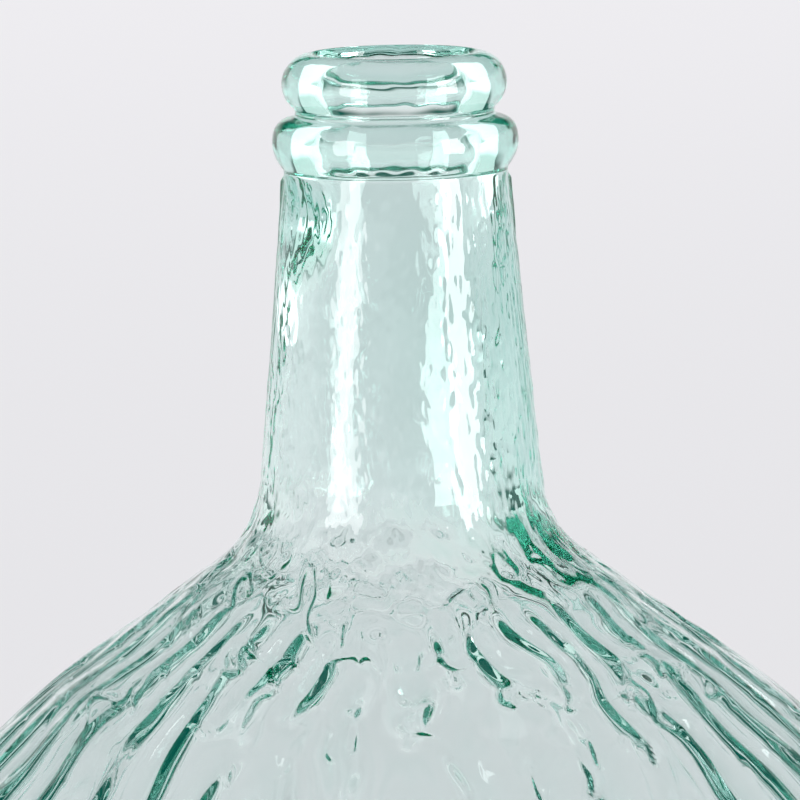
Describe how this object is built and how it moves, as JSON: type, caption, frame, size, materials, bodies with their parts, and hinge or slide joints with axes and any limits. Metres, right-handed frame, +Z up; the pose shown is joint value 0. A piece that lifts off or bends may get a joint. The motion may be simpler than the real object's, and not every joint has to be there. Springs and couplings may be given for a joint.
{
  "type": "glass carboy",
  "caption": "Round-bodied ribbed glass carboy with a tapered neck, a collar ring and a beaded lip round a bore that takes a bung, airlock or siphon.",
  "frame": {"origin": "centre of the foot ring, on the plane that the vessel stands on", "axes": "+Z up along the vessel's axis and out of its mouth; -Y towards the camera of the picture; the mould seams lie at +X and -X"},
  "size_m": [0.3312, 0.3312, 0.4636],
  "materials": {
    "aqua_glass": "glossy blown glass, pale aqua green",
    "aqua_glass_finish": "glossy tooled glass, thicker and so a deeper aqua green"
  },
  "bodies": {
    "root": {"vessel": "aqua_glass", "collar_ring": "aqua_glass_finish", "lip_ring": "aqua_glass_finish"}
  },
  "joints": []
}
